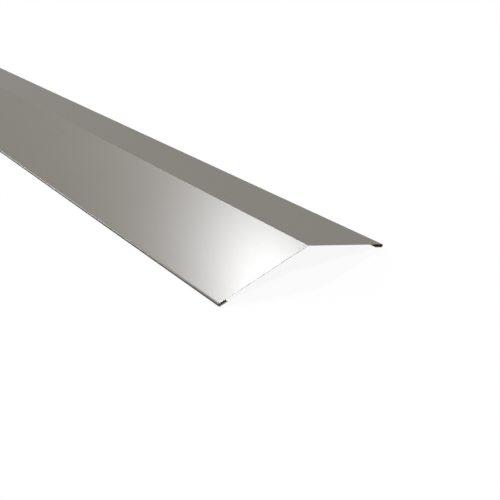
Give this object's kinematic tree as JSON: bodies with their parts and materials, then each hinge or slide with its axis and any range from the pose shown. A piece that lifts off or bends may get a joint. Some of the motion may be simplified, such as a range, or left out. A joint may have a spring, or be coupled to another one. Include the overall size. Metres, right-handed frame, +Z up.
{
  "type": "roof ridge cap",
  "caption": "Long strip of painted sheet steel, creased along its middle into a shallow roof shape, with an open hem folded under each long edge; it covers the ridge of a roof.",
  "frame": {"origin": "middle of the floor that the cap covers: on the plane of symmetry, half way along, level with the undersides of the two hems that it rests on", "axes": "+X along the ridge, +Y across the roof, +Z up"},
  "size_m": [2, 0.2886, 0.043],
  "materials": {
    "painted_steel": "satin"
  },
  "bodies": {
    "root": {"ridge_cap": "painted_steel"}
  },
  "joints": []
}
